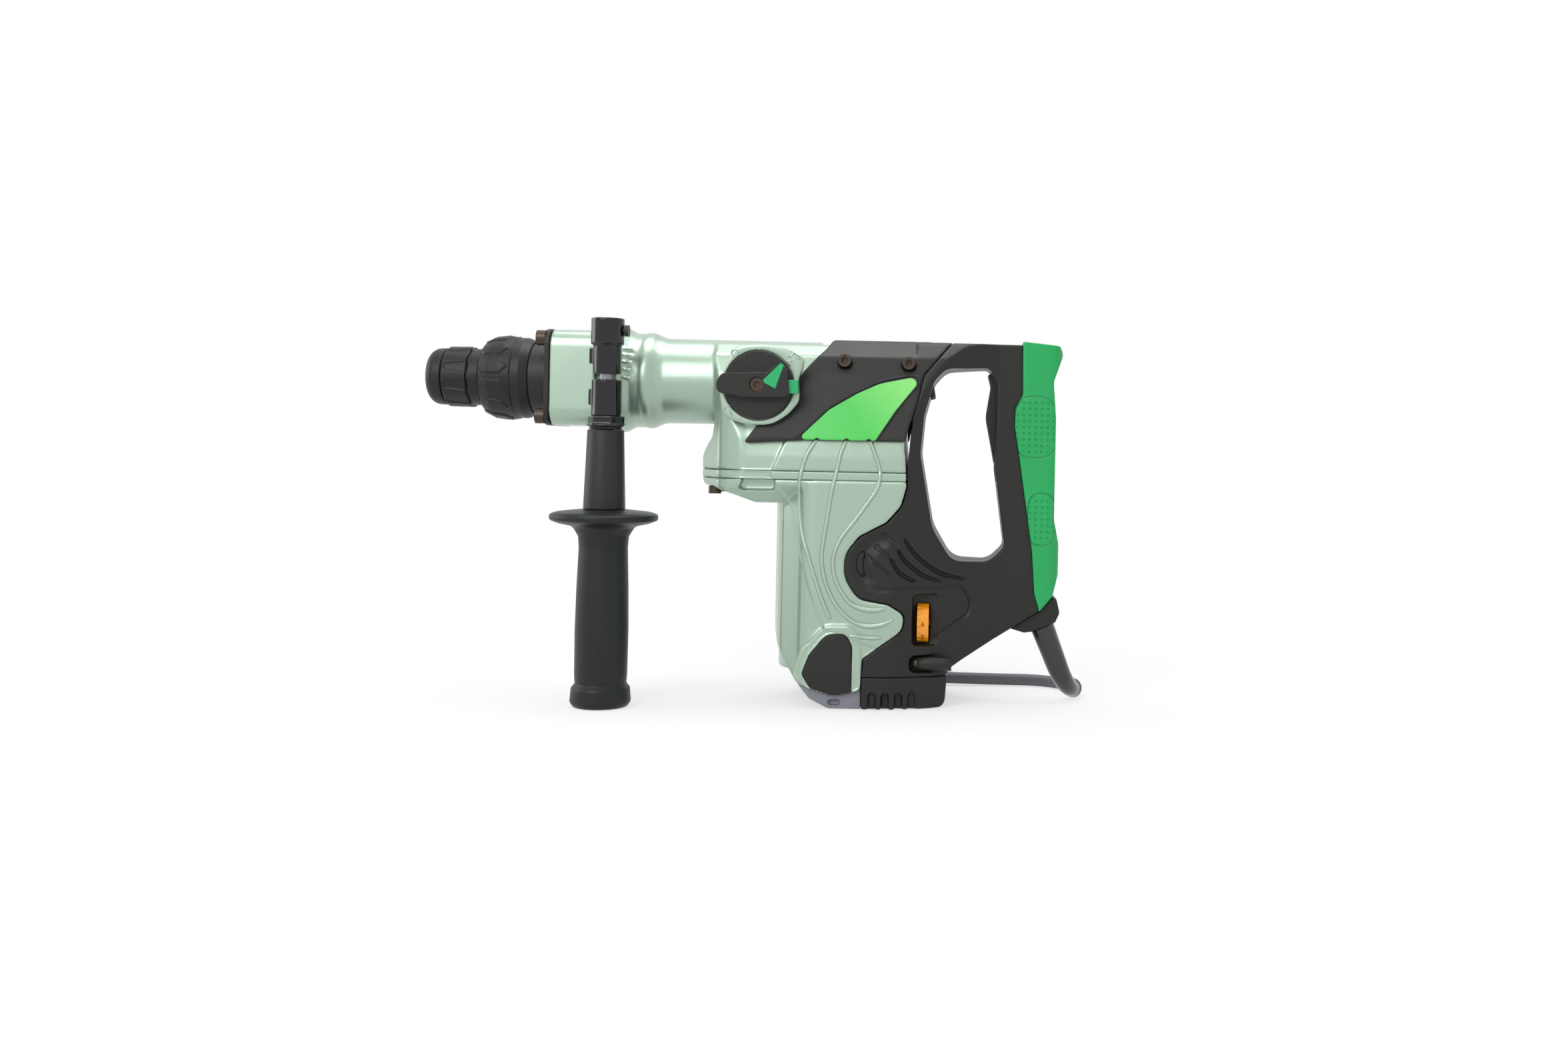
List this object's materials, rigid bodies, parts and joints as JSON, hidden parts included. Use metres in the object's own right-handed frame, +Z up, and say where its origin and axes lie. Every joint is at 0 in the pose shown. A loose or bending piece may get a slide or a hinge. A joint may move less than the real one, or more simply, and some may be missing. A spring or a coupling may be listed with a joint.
{
  "type": "rotary hammer",
  "caption": "Corded rotary hammer with keyless chuck, swivelling side handle, mode knob, D-handle with trigger and speed dial, and a full drive train inside.",
  "frame": {"origin": "centre of the tool socket's mouth, on the spindle axis", "axes": "+X along the spindle towards the rear handle, -X out of the tool socket, +Z up, -Y towards the side handle and the mode knob"},
  "size_m": [0.4358, 0.2576, 0.2436],
  "materials": {
    "rubber_black": "satin moulded rubber",
    "plastic_black": "fine-textured moulded plastic",
    "plastic_gloss": "smooth black plastic",
    "body_metal": "pale metallic silver-green paint on cast alloy",
    "dark_chrome": "black nickel plating",
    "screw_steel": "browned steel",
    "bright_steel": "ground steel",
    "gear_steel": "hardened steel",
    "zinc_steel": "zinc-plated steel",
    "grip_green": "soft overmoulded elastomer with dimples",
    "signal_green": "moulded plastic",
    "badge_green": "printed plate, dark to lime green",
    "dial_orange": "moulded plastic",
    "vent_grey": "moulded plastic",
    "copper": "copper and lacquered wire",
    "iron": "laminated steel",
    "carbon": "pressed carbon",
    "board_green": "potted circuit board",
    "cord_grey": "rubber cord sheath"
  },
  "bodies": {
    "body": {"front_cover": "plastic_black", "cover_screws": "screw_steel", "oil_seal": "rubber_black", "front_bearing": "bright_steel", "gear_housing": "body_metal", "intermediate_plate": "body_metal", "body_screws": "screw_steel", "motor_housing": "body_metal", "vent_skirt": "vent_grey", "brush_covers": "plastic_black", "upper_cover": "plastic_black", "badge_plates": "badge_green", "handle_half_left": "plastic_black", "handle_half_right": "plastic_black", "grip_cover": "grip_green", "switch_unit": "plastic_black", "speed_controller": "board_green", "tail_cover": "plastic_black", "gear_bearings": "bright_steel", "motor_bearings": "bright_steel", "stator": "iron", "field_coils": "copper", "brush_holders": "copper", "carbon_brushes": "carbon", "cord_gland": "plastic_black", "cord_guard": "plastic_gloss", "cord_lead": "cord_grey", "cord_coil": "cord_grey", "cord_tie": "plastic_black", "cord_plug": "plastic_black"},
    "spindle": {"nose_cap": "rubber_black", "front_ring": "rubber_black", "tool_holder": "gear_steel", "lock_rollers": "bright_steel", "sleeve_spring": "bright_steel", "cylinder_tube": "gear_steel", "crown_gear": "gear_steel"},
    "sleeve": {"locking_sleeve": "rubber_black"},
    "rotor": {"armature": "copper", "commutator": "copper", "fan": "vent_grey"},
    "crankshaft": {"crank": "gear_steel"},
    "countershaft": {"countershaft": "gear_steel"},
    "piston": {"piston": "bright_steel", "gudgeon_pin": "bright_steel"},
    "rod": {"connecting_rod": "gear_steel"},
    "striker": {"striker": "gear_steel"},
    "impact_bolt": {"impact_bolt": "gear_steel"},
    "clamp": {"clamp_band": "dark_chrome", "clamp_bolt": "zinc_steel", "clamp_nut": "dark_chrome", "stop_screw": "plastic_black"},
    "side_handle": {"side_handle_core": "plastic_black", "side_grip": "rubber_black"},
    "lever": {"mode_knob": "plastic_black", "mode_pointer": "signal_green", "knob_screw": "screw_steel"},
    "lock_button": {"lock_button": "signal_green"},
    "trigger": {"trigger": "plastic_black"},
    "dial": {"speed_dial": "dial_orange"}
  },
  "joints": [
    {"name": "motor_spin", "type": "hinge", "parent": "body", "child": "rotor", "pos_m": [0.2758, 0, -0.12], "axis": [0, 0, 1], "continuous": true},
    {"name": "crank_spin", "type": "hinge", "parent": "body", "child": "crankshaft", "pos_m": [0.2428, 0, -0.03], "axis": [0, 0, 1], "continuous": true},
    {"name": "countershaft_spin", "type": "hinge", "parent": "body", "child": "countershaft", "pos_m": [0.2023, 0, -0.03], "axis": [0, 0, 1], "continuous": true},
    {"name": "spindle_spin", "type": "hinge", "parent": "body", "child": "spindle", "pos_m": [0, 0, 0], "axis": [1, 0, 0], "continuous": true},
    {"name": "sleeve_slide", "type": "slide", "parent": "spindle", "child": "sleeve", "axis": [1, 0, 0], "range_m": [0, 0.008], "stiffness_N_per_m": 1500, "springref_m": -0.008, "deforming": ["sleeve_spring"]},
    {"name": "piston_slide", "type": "slide", "parent": "body", "child": "piston", "axis": [-1, 0, 0], "range_m": [0, 0.028]},
    {"name": "rod_swing", "type": "hinge", "parent": "piston", "child": "rod", "pos_m": [0.2123, 0, 0], "axis": [0, 0, 1], "range_deg": [-18.3, 18.3]},
    {"name": "striker_slide", "type": "slide", "parent": "body", "child": "striker", "axis": [-1, 0, 0], "range_m": [-0.012, 0.009]},
    {"name": "impact_bolt_slide", "type": "slide", "parent": "body", "child": "impact_bolt", "axis": [-1, 0, 0], "range_m": [0, 0.008]},
    {"name": "clamp_swivel", "type": "hinge", "parent": "body", "child": "clamp", "pos_m": [0.1214, 0, 0], "axis": [1, 0, 0], "continuous": true},
    {"name": "side_grip_turn", "type": "hinge", "parent": "clamp", "child": "side_handle", "pos_m": [0.1274, -0.048, -0.1], "axis": [0, 0, 1], "range_deg": [0, 720]},
    {"name": "mode_turn", "type": "hinge", "parent": "body", "child": "lever", "pos_m": [0.2228, -0.045, -0.0034], "axis": [0, -1, 0], "range_deg": [0, 180]},
    {"name": "lock_button_slide", "type": "slide", "parent": "lever", "child": "lock_button", "axis": [-1, 0, 0], "range_m": [0, 0.0025], "stiffness_N_per_m": 400, "springref_m": -0.002},
    {"name": "trigger_pull", "type": "hinge", "parent": "body", "child": "trigger", "pos_m": [0.3758, 0, 0.0045], "axis": [0, -1, 0], "range_deg": [0, 7], "stiffness_Nm_per_rad": 0.5, "springref_deg": -11.46},
    {"name": "dial_turn", "type": "hinge", "parent": "body", "child": "dial", "pos_m": [0.3288, -0.026, -0.153], "axis": [1, 0, 0], "range_deg": [-150, 150]}
  ],
  "couplings": [
    {"joint": "crank_spin", "follows": "motor_spin", "ratio": -0.22222},
    {"joint": "countershaft_spin", "follows": "motor_spin", "ratio": 0.44444},
    {"joint": "spindle_spin", "follows": "motor_spin", "ratio": -0.16461}
  ]
}
